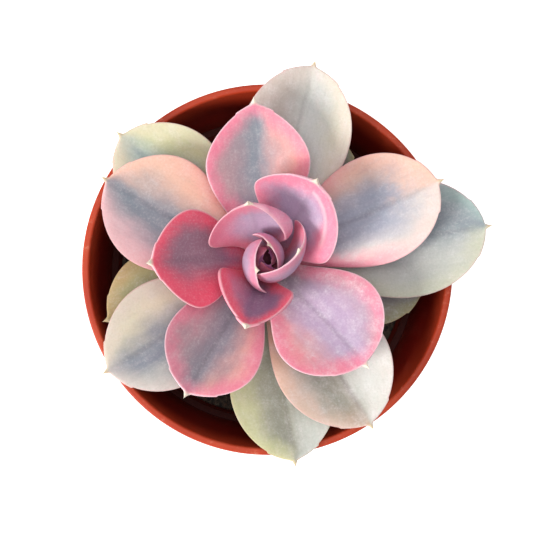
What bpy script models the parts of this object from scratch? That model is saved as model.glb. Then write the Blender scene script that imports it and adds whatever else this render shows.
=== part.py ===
"""Potted rosette succulent: a round plastic nursery pot, its potting mix, and an Echeveria-type plant.

Blender 4.5 script, metres, +Z up. The origin is on the pot's axis, on the surface that the pot stands on.
Each leaf is one named object. Leaves are numbered from the oldest and lowest to the youngest, and each one is
set about the golden angle round the stem from the one before it.
"""

import math
from typing import NamedTuple

import bmesh
import bpy
from mathutils import Matrix, Vector

MM = 0.001
GAP = 0.3 * MM

# Pot
RIM_RADIUS = 52.5 * MM
POT_HEIGHT = 85.0 * MM
BASE_RADIUS = 36.0 * MM
WALL = 1.2 * MM
LIP_WIDTH = 2.1 * MM
LIP_DEPTH = 2.0 * MM
LIP_UNDERCUT = 0.7 * MM
LIP_ROUND = 0.4 * MM
COLLAR_HEIGHT = 25.0 * MM
COLLAR_DRAFT = 3.7 * MM
LEDGE_WIDTH = 2.1 * MM
FOOT_WIDTH = 5.0 * MM
FOOT_ROUND = 1.0 * MM
FOOT_HEIGHT = 1.2 * MM
CENTRE_FOOT_RADIUS = 9.0 * MM
FLOOR_THICKNESS = 1.3 * MM
DRAIN_HOLES = 4
DRAIN_RADIUS = 4.5 * MM
DRAIN_CIRCLE_RADIUS = 20.0 * MM
POT_SIDES = 64

# Potting mix
SOIL_BELOW_RIM = 27.5 * MM
SOIL_DISH = 1.5 * MM
SOIL_SIDES = 40
SOIL_RINGS = 6
SOIL_FLAT = 0.2  # share of the surface's radius that is level in the middle

# Plant. Its sizes are for a pot mouth of the radius PLANT_MOUTH, and a pot with another mouth scales the plant.
PLANT_MOUTH = 50.4 * MM
PLANT_MM = MM * (RIM_RADIUS - LIP_WIDTH) / PLANT_MOUTH
PLANT_X = -1.4 * PLANT_MM
PLANT_Y = 2.3 * PLANT_MM
STEM_RADIUS = 5.0 * PLANT_MM
STEM_TOP_RADIUS = 1.9 * PLANT_MM
STEM_ROOT_DEPTH = 12.0 * MM
STEM_ROOT_TAPER = 3.0 * MM
STEM_SIDES = 20
FIRST_SEAT_BELOW_RIM = 20.0 * PLANT_MM
SEAT_STEP = 1.05 * PLANT_MM

# Leaf shape, in the same plant millimetres as the table below; a short leaf has a cusp in proportion
CUSP_LENGTH = 2.2
CUSP_WIDTH = 2.4
LONGEST_CUSP = 0.12  # as a share of the leaf's length
WIDEST_CUSP = 0.3  # as a share of the leaf's width
CUSP_ROOT = 0.08  # share of the leaf's length that the cusp runs back into the blade
FOOT_SHARE = 0.30  # width of the leaf's foot, as a share of the greatest width
SHOULDER = 2.3  # how blunt the blade's end is: 2 is an ellipse
FOOT_THICKNESS = 0.6  # thickness at the foot, as a share of the greatest
TIP_THINNING = 0.72  # share of the thickness lost by the tip
FOOT_CLOSE = 0.05  # share of the length in which the foot rounds shut
TIP_CLOSE = 0.03  # share of the length in which the tip rounds shut
UPPER_SHARE = 0.32  # share of the thickness above the midrib's line
LEAF_RINGS = 12
LEAF_SIDES = 12


class Leaf(NamedTuple):
    """One leaf: directions in degrees, sizes in plant millimetres."""

    turn: float  # heading of the base, anticlockwise from +X
    length: float  # along the midrib, cusp included, from the stem's axis
    width: float  # across the blade, measured round its curve
    rise: float  # slope of the midrib at the stem
    tip_rise: float  # slope of the midrib at the tip
    cup: float  # how far each margin turns up from the midrib
    roll: float = 0.0  # bank about the midrib, positive lifts the left side
    sweep: float = 0.0  # sideways bend from base to tip, positive to the left
    lean: float = 0.0  # share of the cup moved from the right margin to the left one
    thickness: float = 4.6
    widest: float = 0.62  # place of the greatest width, as a share of the length


# Oldest and lowest leaf first.
LEAVES = [
    Leaf(348.5, 51, 25, 22, 16, 16),
    Leaf(201, 52, 29, 26, 18, 14),
    Leaf(57, 46, 24, 26, 18, 14),
    Leaf(279.5, 60.5, 29, 26, 16, 16),
    Leaf(139, 57.5, 30, 28, 18, 16),
    Leaf(8.5, 68, 34, 24, 16, 16),
    Leaf(215, 57.5, 34, 28, 16, 16),
    Leaf(75.5, 59, 30, 28, 18, 18),
    Leaf(303, 58.5, 33.5, 28, 18, 18, sweep=-5),
    Leaf(157, 53.5, 34, 30, 20, 18, sweep=-10),
    Leaf(25.5, 57.5, 31, 30, 18, 20),
    Leaf(239.5, 49, 28, 32, 28, 20),
    Leaf(95, 49.5, 29, 34, 32, 22),
    Leaf(314, 46.5, 31, 34, 32, 22, sweep=-6),
    Leaf(178.5, 40.5, 28, 40, 42, 26, sweep=11),
    Leaf(46, 41, 29, 44, 72, 56, roll=-4, sweep=36, widest=0.6),
    Leaf(250, 36.5, 26, 50, 74, 62, roll=-4, sweep=14, lean=0.15),
    Leaf(118.5, 31.5, 25.5, 58, 76, 72, sweep=-10, lean=-0.36, thickness=3.6),
    Leaf(350.5, 29, 21.5, 54, 112, 62, sweep=20, lean=-0.6, thickness=2.8),
    Leaf(199, 24.5, 18, 60, 106, 70, sweep=20, lean=-0.38, thickness=2.2),
    Leaf(64, 20.5, 12, 68, 104, 62, sweep=14, thickness=2.0),
    Leaf(274, 16.5, 8, 71, 106, 72, thickness=1.6),
    Leaf(155, 13.5, 6, 78, 108, 72, thickness=1.4),
    Leaf(18, 11, 4.4, 80, 108, 66, thickness=1.2),
    Leaf(235, 7.5, 2.8, 82, 106, 60, thickness=1.0),
]


def clear_scene():
    for old in list(bpy.data.objects):
        bpy.data.objects.remove(old)


def material(name, colour, roughness, metallic=0.0):
    made = bpy.data.materials.new(name)
    made.use_nodes = True
    shader = made.node_tree.nodes["Principled BSDF"]
    shader.inputs["Base Color"].default_value = (*colour, 1.0)
    shader.inputs["Roughness"].default_value = roughness
    shader.inputs["Metallic"].default_value = metallic
    return made


def add_object(name, bm, finish, location=(0, 0, 0), sharp_angle=40):
    bmesh.ops.recalc_face_normals(bm, faces=bm.faces)
    mesh = bpy.data.meshes.new(name)
    bm.to_mesh(mesh)
    bm.free()
    mesh.shade_smooth()
    mesh.set_sharp_from_angle(angle=math.radians(sharp_angle))
    mesh.materials.append(finish)
    made = bpy.data.objects.new(name, mesh)
    made.location = location
    bpy.context.scene.collection.objects.link(made)
    return made


def turned(profile, sides):
    """A closed body of revolution about Z from (radius, height) points; points at radius 0 close it."""
    bm = bmesh.new()
    verts = [bm.verts.new((radius, 0, height)) for radius, height in profile]
    edges = [bm.edges.new(pair) for pair in zip(verts, verts[1:])]
    if profile[0][0] > 0:
        edges.append(bm.edges.new((verts[-1], verts[0])))
    bmesh.ops.spin(
        bm, geom=verts + edges, axis=(0, 0, 1), cent=(0, 0, 0), angle=2 * math.pi, steps=sides, use_merge=True
    )
    bmesh.ops.remove_doubles(bm, verts=bm.verts, dist=0.01 * MM)
    return bm


def smooth(x):
    x = min(max(x, 0.0), 1.0)
    return x * x * (3 - 2 * x)


# Pot ----------------------------------------------------------------------------------------------

COLLAR_FOOT_Z = POT_HEIGHT - COLLAR_HEIGHT
COLLAR_INNER_TOP = RIM_RADIUS - LIP_WIDTH
COLLAR_INNER_FOOT = COLLAR_INNER_TOP - COLLAR_DRAFT
BODY_INNER_TOP = COLLAR_INNER_FOOT - LEDGE_WIDTH
BODY_INNER_FOOT = BASE_RADIUS - WALL
FLOOR_TOP_Z = FOOT_HEIGHT + FLOOR_THICKNESS


def body_inner_radius(z):
    """Inside radius of the pot's wall below the ledge."""
    share = (z - FLOOR_TOP_Z) / (COLLAR_FOOT_Z - FLOOR_TOP_Z)
    return BODY_INNER_FOOT + share * (BODY_INNER_TOP - BODY_INNER_FOOT)


def pot_profile():
    foot_inner = BASE_RADIUS - FOOT_WIDTH
    return [
        (0, 0),
        (CENTRE_FOOT_RADIUS, 0),
        (CENTRE_FOOT_RADIUS + FOOT_HEIGHT / 2, FOOT_HEIGHT),
        (foot_inner - FOOT_HEIGHT / 2, FOOT_HEIGHT),
        (foot_inner, 0),
        (BASE_RADIUS - FOOT_ROUND, 0),
        (BASE_RADIUS, FOOT_ROUND),
        (BODY_INNER_TOP + WALL, COLLAR_FOOT_Z - WALL),
        (COLLAR_INNER_FOOT + WALL, COLLAR_FOOT_Z - WALL),
        (RIM_RADIUS - LIP_UNDERCUT, POT_HEIGHT - LIP_DEPTH),
        (RIM_RADIUS, POT_HEIGHT - LIP_DEPTH + LIP_ROUND),
        (RIM_RADIUS, POT_HEIGHT - LIP_ROUND),
        (RIM_RADIUS - LIP_ROUND, POT_HEIGHT),
        (COLLAR_INNER_TOP + LIP_ROUND, POT_HEIGHT),
        (COLLAR_INNER_TOP, POT_HEIGHT - LIP_ROUND),
        (COLLAR_INNER_FOOT, COLLAR_FOOT_Z),
        (BODY_INNER_TOP, COLLAR_FOOT_Z),
        (BODY_INNER_FOOT, FLOOR_TOP_Z),
        (0, FLOOR_TOP_Z),
    ]


def make_pot(finish):
    pot = add_object("pot", turned(pot_profile(), POT_SIDES), finish)
    for index in range(DRAIN_HOLES):
        angle = 2 * math.pi * (index + 0.5) / DRAIN_HOLES
        bm = bmesh.new()
        bmesh.ops.create_cone(
            bm, cap_ends=True, segments=16, radius1=DRAIN_RADIUS, radius2=DRAIN_RADIUS, depth=4 * FLOOR_THICKNESS
        )
        place = (
            DRAIN_CIRCLE_RADIUS * math.cos(angle),
            DRAIN_CIRCLE_RADIUS * math.sin(angle),
            FOOT_HEIGHT + FLOOR_THICKNESS / 2,
        )
        cutter = add_object(f"drain_cutter_{index + 1}", bm, finish, place)
        cutter.hide_render = True
        cutter.display_type = "WIRE"
        cut = pot.modifiers.new(f"drain_{index + 1}", "BOOLEAN")
        cut.operation = "DIFFERENCE"
        cut.object = cutter
    return pot


# Potting mix and stem -----------------------------------------------------------------------------

SOIL_TOP_Z = POT_HEIGHT - SOIL_BELOW_RIM
STEM_ROOT_Z = SOIL_TOP_Z - STEM_ROOT_DEPTH
SEAT_BASE_Z = POT_HEIGHT - FIRST_SEAT_BELOW_RIM
APEX_Z = SEAT_BASE_Z + SEAT_STEP * (len(LEAVES) + 1)


def stem_radius(z):
    """The stem is straight to the first leaf and tapers from there to the growing tip."""
    share = (z - SEAT_BASE_Z) / (APEX_Z - SEAT_BASE_Z)
    return STEM_RADIUS + (STEM_TOP_RADIUS - STEM_RADIUS) * min(max(share, 0.0), 1.0)


def make_soil(finish):
    """The root ball fills the pot to its ledge, with a pocket round the stem's foot."""
    soil_foot_z = FLOOR_TOP_Z + GAP
    edge_z = SOIL_TOP_Z - SOIL_DISH / 2
    edge = body_inner_radius(edge_z) - GAP
    profile = [(0, soil_foot_z), (body_inner_radius(soil_foot_z) - GAP, soil_foot_z)]
    for index in range(SOIL_RINGS + 1):
        share = index / SOIL_RINGS
        profile.append((edge * (1 - share * (1 - SOIL_FLAT)), edge_z + SOIL_DISH * smooth(share)))
    profile.append((0, edge_z + SOIL_DISH))
    soil = add_object("soil", turned(profile, SOIL_SIDES), finish)
    bm = bmesh.new()
    pocket_depth = STEM_ROOT_DEPTH + 4 * SOIL_DISH
    bmesh.ops.create_cone(
        bm,
        cap_ends=True,
        segments=STEM_SIDES,
        radius1=STEM_RADIUS + GAP,
        radius2=STEM_RADIUS + GAP,
        depth=pocket_depth,
    )
    place = (PLANT_X, PLANT_Y, STEM_ROOT_Z - GAP + pocket_depth / 2)
    cutter = add_object("stem_pocket_cutter", bm, finish, place)
    cutter.hide_render = True
    cutter.display_type = "WIRE"
    cut = soil.modifiers.new("stem_pocket", "BOOLEAN")
    cut.operation = "DIFFERENCE"
    cut.object = cutter
    return soil


def make_stem(finish):
    """The stem stands a hair inside the radius that the leaves sit on."""
    inside = 0.98
    profile = [
        (0, STEM_ROOT_Z),
        (STEM_RADIUS * 0.7, STEM_ROOT_Z),
        (STEM_RADIUS * inside, STEM_ROOT_Z + STEM_ROOT_TAPER),
        (STEM_RADIUS * inside, SEAT_BASE_Z),
        (STEM_TOP_RADIUS * inside, APEX_Z),
        (0, APEX_Z + STEM_TOP_RADIUS),
    ]
    return add_object("stem", turned(profile, STEM_SIDES), finish, (PLANT_X, PLANT_Y, 0))


# Leaves -------------------------------------------------------------------------------------------


def half_width(leaf, share):
    """Half the blade's width at a share of its length: a narrow foot, a broad round end and a short cusp."""
    half = leaf.width / 2
    foot = FOOT_SHARE * half
    end = 1 - min(CUSP_LENGTH / leaf.length, LONGEST_CUSP)
    if share < leaf.widest:
        blade = foot + (half - foot) * smooth(share / leaf.widest) ** 0.9
    else:
        past = min((share - leaf.widest) / (end - leaf.widest), 1.0)
        blade = half * math.sqrt(max(1 - past**SHOULDER, 0.0))
    cusp_start = end - CUSP_ROOT
    cusp = 0.0
    if share > cusp_start:
        cusp_width = min(CUSP_WIDTH, WIDEST_CUSP * leaf.width)
        cusp = cusp_width / 2 * (1 - (share - cusp_start) / (1 - cusp_start))
    closed_foot = min(1.0, math.sqrt(share / FOOT_CLOSE))
    return math.hypot(blade, cusp) * closed_foot


def thickness(leaf, share):
    """Thickest in the middle of the blade, thinner at the foot and towards the tip."""
    foot = FOOT_THICKNESS + (1 - FOOT_THICKNESS) * smooth(share / 0.35)
    tip = 1 - TIP_THINNING * smooth((share - 0.35) / 0.6)
    close = min(1.0, math.sqrt(share / FOOT_CLOSE), math.sqrt(max(1 - share, 0.0) / TIP_CLOSE))
    return leaf.thickness * foot * tip * close


def tangent(leaf, share):
    slope = math.radians(leaf.rise + (leaf.tip_rise - leaf.rise) * share)
    heading = math.radians(leaf.sweep * share)
    return Vector((math.cos(slope) * math.cos(heading), math.cos(slope) * math.sin(heading), math.sin(slope)))


def midrib(leaf, share, steps=16):
    """Point of the midrib at a share of its length, from the foot, heading along +X."""
    total = Vector((0, 0, 0))
    for index in range(steps):
        total += tangent(leaf, share * (index + 0.5) / steps)
    return total * (leaf.length * share / steps)


def leaf_point(leaf, share, round_angle):
    """Point of the leaf's skin; round_angle runs from the left margin over the upper face."""
    along = tangent(leaf, share)
    heading = math.radians(leaf.sweep * share)
    side = Vector((-math.sin(heading), math.cos(heading), 0))
    roll = Matrix.Rotation(math.radians(leaf.roll) * smooth(share / 0.4), 3, along)
    side = roll @ side
    normal = along.cross(side)
    offset = math.cos(round_angle) * half_width(leaf, share)
    cup = leaf.cup * (1 + leaf.lean if offset > 0 else 1 - leaf.lean)
    curve_radius = leaf.width / 2 / math.radians(cup)
    across = offset / curve_radius
    rise = math.sin(round_angle)
    depth = thickness(leaf, share) * (UPPER_SHARE if rise > 0 else 1 - UPPER_SHARE) * rise
    radius = curve_radius - depth
    return midrib(leaf, share) + side * (radius * math.sin(across)) + normal * (
        curve_radius - radius * math.cos(across)
    )


def make_leaf(index, leaf, finish):
    """A leaf is a sphere's skin drawn out along the midrib: its poles are the foot and the cusp."""
    seat_z = SEAT_BASE_Z + SEAT_STEP * index
    leaf = leaf._replace(length=leaf.length - stem_radius(seat_z) / PLANT_MM)
    bm = bmesh.new()
    bmesh.ops.create_uvsphere(bm, u_segments=LEAF_SIDES, v_segments=LEAF_RINGS, radius=1.0)
    for vert in bm.verts:
        share = min(max((1 + vert.co.z) / 2, 0.0), 1.0)
        vert.co = leaf_point(leaf, share, math.atan2(vert.co.y, vert.co.x)) * PLANT_MM
    turn = Matrix.Rotation(math.radians(leaf.turn), 4, "Z")
    foot = Matrix.Translation((stem_radius(seat_z) + GAP, 0, 0))
    bmesh.ops.transform(bm, matrix=turn @ foot, verts=bm.verts)
    return add_object(f"leaf_{index + 1:02d}", bm, finish, (PLANT_X, PLANT_Y, seat_z), sharp_angle=180)


def main():
    clear_scene()
    plastic = material("terracotta_plastic", (0.42, 0.07, 0.03), 0.45)
    mix = material("potting_mix", (0.03, 0.022, 0.016), 0.95)
    bark = material("stem_skin", (0.20, 0.15, 0.08), 0.8)
    make_pot(plastic)
    make_soil(mix)
    make_stem(bark)
    for index, leaf in enumerate(LEAVES):
        youth = index / (len(LEAVES) - 1)
        tint = [old + (young - old) * youth for old, young in zip((0.42, 0.46, 0.36), (0.52, 0.18, 0.26))]
        make_leaf(index, leaf, material(f"leaf_skin_{index + 1:02d}", tint, 0.5))


main()
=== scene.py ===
"""Looks of a potted rosette succulent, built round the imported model: leaves, stem, mix and pot.

Metres, +Z up. The origin is on the pot's axis, on the surface that the pot stands on.
"""

import logging
import math
import random
from dataclasses import dataclass, replace
from enum import Enum
from typing import Callable, Iterable, Optional, Sequence, Union

import bmesh
import bpy
import numpy as np
from mathutils import Matrix, Vector, noise

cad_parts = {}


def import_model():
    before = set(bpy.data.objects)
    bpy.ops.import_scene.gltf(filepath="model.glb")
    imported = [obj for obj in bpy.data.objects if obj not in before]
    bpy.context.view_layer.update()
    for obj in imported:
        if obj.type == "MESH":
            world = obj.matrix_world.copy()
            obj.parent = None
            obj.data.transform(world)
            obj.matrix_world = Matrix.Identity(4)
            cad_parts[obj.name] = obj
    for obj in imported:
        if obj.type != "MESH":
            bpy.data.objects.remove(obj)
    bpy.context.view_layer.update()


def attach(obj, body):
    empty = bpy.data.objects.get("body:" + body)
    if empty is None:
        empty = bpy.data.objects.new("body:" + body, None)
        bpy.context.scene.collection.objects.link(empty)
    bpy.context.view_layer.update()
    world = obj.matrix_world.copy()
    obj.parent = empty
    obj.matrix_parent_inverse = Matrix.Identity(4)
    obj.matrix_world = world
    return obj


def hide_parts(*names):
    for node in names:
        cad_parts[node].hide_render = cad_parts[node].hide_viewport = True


LOG = logging.getLogger("potted_succulent")
MM = 0.001
GAP = 0.3 * MM  # between a leaf's foot and the stem
MERGE = 0.01 * MM
ANY_TURN = 6.28  # radians, about a full turn
BODY = "root"

Colour = tuple[float, float, float]
Number = Union[int, float]
Term = Union["Wire", int, float]


def smooth(x: float) -> float:
    """A soft step from 0 to 1 as x goes from 0 to 1."""
    x = min(max(x, 0.0), 1.0)
    return x * x * (3 - 2 * x)


def paint(red: int, green: int, blue: int) -> Colour:
    """Linear colour of a display colour.

    Args:
        red: 0 to 255.
        green: 0 to 255.
        blue: 0 to 255.

    Returns:
        The three linear values.
    """

    def linear(value: float) -> float:
        """One channel, by the usual display curve."""
        return value / 12.92 if value <= 0.04045 else ((value + 0.055) / 1.055) ** 2.4

    return (linear(red / 255), linear(green / 255), linear(blue / 255))


# Shader maths ---------------------------------------------


def operator(operation: str, swapped: bool = False) -> Callable[["Wire", Term], "Wire"]:
    """Makes the method behind one of a Wire's operators.

    Args:
        operation: The Math node's operation.
        swapped: Whether the other value comes first.

    Returns:
        The method.
    """

    def method(self: "Wire", other: Term) -> "Wire":
        """Adds the Math node for self and other."""
        return self.maths(operation, *((other, self) if swapped else (self, other)))

    return method


class Wire:
    """One output socket of a node tree, so that shader maths reads as ordinary expressions."""

    def __init__(self, socket: bpy.types.NodeSocket) -> None:
        """Keeps the socket and its tree."""
        self.tree = socket.id_data
        self.socket = socket

    def maths(self, operation: str, *values: Term, clamp: bool = False) -> "Wire":
        """Adds one Math node.

        Args:
            operation: The node's operation.
            values: Its inputs, in order.
            clamp: Whether the result is kept between 0 and 1.

        Returns:
            The node's output.
        """
        node = self.tree.nodes.new("ShaderNodeMath")
        node.operation = operation
        node.use_clamp = clamp
        for socket, value in zip(node.inputs, values):
            if isinstance(value, Wire):
                self.tree.links.new(value.socket, socket)
            else:
                socket.default_value = float(value)
        return Wire(node.outputs[0])

    __add__ = __radd__ = operator("ADD")
    __sub__ = operator("SUBTRACT")
    __rsub__ = operator("SUBTRACT", swapped=True)
    __mul__ = __rmul__ = operator("MULTIPLY")
    __truediv__ = operator("DIVIDE")
    __pow__ = operator("POWER")

    def __abs__(self) -> "Wire":
        """The size of self."""
        return self.maths("ABSOLUTE", self)

    def clamp(self) -> "Wire":
        """Self, kept between 0 and 1."""
        return self.maths("ADD", self, 0.0, clamp=True)

    def step(self, start: Number, end: Number) -> "Wire":
        """Soft step: 0 at start, 1 at end; start may be the larger one."""
        node = self.tree.nodes.new("ShaderNodeMapRange")
        node.interpolation_type = "SMOOTHSTEP"
        low, high = (start, end) if start < end else (end, start)
        self.tree.links.new(self.socket, node.inputs["Value"])
        limits = {"From Min": low, "From Max": high, "To Min": start > end, "To Max": start < end}
        for name, value in limits.items():
            node.inputs[name].default_value = float(value)
        return Wire(node.outputs[0])


class Finish:
    """A material under construction: its node tree, its shader, and the nodes that feed it."""

    def __init__(self, name: str) -> None:
        """Starts a material with one Principled shader.

        Args:
            name: The material's name.
        """
        self.material = bpy.data.materials.new(name)
        self.material.use_nodes = True
        self.tree = self.material.node_tree
        self.shader = self.tree.nodes["Principled BSDF"]
        self.colour: Union[Wire, Colour] = (0.5, 0.5, 0.5)

    def node(self, kind: str, settings: Optional[dict] = None, **inputs: object) -> bpy.types.Node:
        """Adds any node.

        Args:
            kind: The node's type.
            settings: Properties that are set before its sockets.
            inputs: Values or wires of its sockets, with _ for a space in a name.

        Returns:
            The node.
        """
        made = self.tree.nodes.new(kind)
        for key, value in (settings or {}).items():
            setattr(made, key, value)
        for key, value in inputs.items():
            self.feed(made.inputs[key.replace("_", " ")], value)
        return made

    def feed(self, socket: bpy.types.NodeSocket, value: object) -> None:
        """Links a wire to a socket, or sets the socket to a plain value."""
        if isinstance(value, Wire):
            self.tree.links.new(value.socket, socket)
        elif isinstance(value, tuple) and len(value) == 3 and socket.type == "RGBA":
            socket.default_value = (*value, 1.0)
        else:
            socket.default_value = value

    def wire(self, node: bpy.types.Node, output: Union[int, str] = 0) -> Wire:
        """One output of a node."""
        return Wire(node.outputs[output])

    def place(self) -> Wire:
        """Object coordinates, in metres."""
        return self.wire(self.node("ShaderNodeTexCoord"), "Object")

    def attribute(self, name: str, output: str = "Fac") -> Wire:
        """A value that the mesh carries at its points."""
        return self.wire(self.node("ShaderNodeAttribute", {"attribute_name": name}), output)

    def stretch(self, vector: Wire, scale: Sequence[float], shift: Sequence[float] = (0, 0, 0)) -> Wire:
        """A vector times scale, plus shift, axis by axis."""
        made = self.node("ShaderNodeVectorMath", {"operation": "MULTIPLY_ADD"})
        for socket, value in zip(made.inputs, (vector, tuple(scale), tuple(shift))):
            self.feed(socket, value)
        return self.wire(made)

    def clouds(self, vector: Wire, scale: float, detail: float = 3.0, roughness: float = 0.5) -> Wire:
        """Soft noise round 0.5 at scale patches to the unit."""
        return self.wire(
            self.node("ShaderNodeTexNoise", Vector=vector, Scale=scale, Detail=detail, Roughness=roughness)
        )

    def cells(self, vector: Wire, scale: float) -> Wire:
        """Distance to the nearest of scattered points, scale of them to the unit."""
        return self.wire(self.node("ShaderNodeTexVoronoi", Vector=vector, Scale=scale))

    def mix(self, factor: Term, below: Union[Wire, Colour], above: Union[Wire, Colour]) -> Wire:
        """Colour that goes from below to above as factor goes from 0 to 1."""
        made = self.node("ShaderNodeMix", {"data_type": "RGBA"})
        for name, value in (("Factor_Float", factor), ("A_Color", below), ("B_Color", above)):
            self.feed(next(s for s in made.inputs if s.identifier == name), value)
        return Wire(next(s for s in made.outputs if s.identifier == "Result_Color"))

    def lay(self, factor: Term, above: Union[Wire, Colour]) -> None:
        """Lays a colour over the finish's colour, as strongly as factor."""
        self.colour = self.mix(factor, self.colour, above)

    def tones(self, wire: Wire, start: float, end: float, dark: Colour, light: Colour) -> None:
        """Makes the finish's colour go from dark to light as wire goes from start to end."""
        self.colour = self.mix(wire.step(start, end), dark, light)

    def relief(self, height: Wire, distance: float, strength: float = 1.0) -> None:
        """Bumps the surface by height, distance metres for a height of 1."""
        bump = self.node("ShaderNodeBump", Height=height, Distance=distance, Strength=strength)
        self.feed(self.shader.inputs["Normal"], self.wire(bump, "Normal"))

    def set(self, **values: object) -> None:
        """Sets or links the shader's own sockets, with _ for a space in a name."""
        for key, value in values.items():
            self.feed(self.shader.inputs[key.replace("_", " ")], value)


# Leaves ---------------------------------------------------


class Tint(Enum):
    """Colours of leaf skin."""

    CREAM = paint(224, 217, 190)
    IVORY = paint(224, 212, 202)
    KHAKI = paint(198, 190, 140)
    OLIVE = paint(150, 146, 112)
    LIME = paint(206, 207, 160)
    SAGE = paint(176, 182, 168)
    MIST = paint(178, 190, 190)
    SLATE = paint(138, 146, 156)
    LILAC = paint(186, 164, 192)
    MAUVE = paint(152, 114, 148)
    PLUM = paint(142, 88, 130)
    PEACH = paint(236, 194, 172)
    SALMON = paint(242, 172, 162)
    ROSE = paint(240, 134, 160)
    BLUSH = paint(238, 196, 200)
    CORAL = paint(246, 98, 124)
    CHALK = paint(244, 226, 228)
    PITH = paint(238, 226, 206)
    HUSK = paint(206, 188, 150)
    SHADE = paint(84, 76, 88)
    FROST = paint(240, 238, 240)
    TEAL = paint(158, 180, 176)
    SILVER = paint(190, 193, 186)
    PEARL = paint(208, 210, 204)
    ASH = paint(152, 152, 138)
    DUSTY = paint(184, 150, 156)
    MUSHROOM = paint(188, 176, 166)
    BRONZE = paint(190, 156, 108)
    FAWN = paint(222, 186, 160)
    LEAD = paint(146, 140, 150)
    DUSK_ROSE = paint(154, 116, 134)
    MIST_BLUE = paint(140, 150, 156)
    VEIL = paint(162, 166, 182)
    WINE = paint(92, 50, 66)
    BLUSH_EDGE = paint(206, 152, 152)


@dataclass(frozen=True)
class LeafSkin:
    """How one leaf is coloured, as seen from above with its tip away from the stem."""

    middle: Tint  # the stripe along the midrib
    left: Tint
    right: Tint
    foot: Tint  # near the stem
    stripe: float = 0.5  # half the stripe's width, as a share of half the blade
    shift: float = 0.0  # stripe moved to the left
    feather: float = 0.42  # softness of the stripe's sides
    stripe_end: float = 2.0  # where along the leaf the stripe fades out
    vein: float = 0.22  # how strong the painted shade in the crease along the midrib is
    flush: Tint = Tint.ROSE  # band just inside the margin
    flush_fade: float = 0.0  # how much the flush fades towards the tip
    flush_by: tuple[float, float] = (0.0, 0.0)  # how strong the flush is on the left and on the right
    flush_width: float = 6.5  # mm
    edge: Tint = Tint.CHALK
    edge_weight: float = 0.5
    tip: Tint = Tint.PITH
    under: Tint = Tint.MIST
    bloom: float = 0.35  # how much pale powder lies on it
    ridge: float = 0.0  # painted highlight along the fold of the right margin


@dataclass(frozen=True)
class LeafForm:
    """One leaf's shape: directions in degrees, sizes in plant millimetres."""

    turn: float
    length: float
    width: float
    rise: float
    tip_rise: float
    cup: float
    sweep: float = 0.0
    tilt: float = 0.0  # how far the whole leaf leans to its left
    lean: float = 0.0
    thickness: float = 4.6
    widest: float = 0.62
    point: float = 0.3  # 0 for a blunt round end, 1 for a long pointed one
    keel: float = 0.0  # degrees of the cup that are gathered into a fold along the midrib
    skew: float = 0.0  # how much nearer the tip the left half is widest, and the right half nearer the foot
    hem: float = 0.0  # degrees that the right margin's strip turns inwards, on top of the cup
    hem_width: float = 0.4  # the strip's width as a share of half the blade


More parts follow.
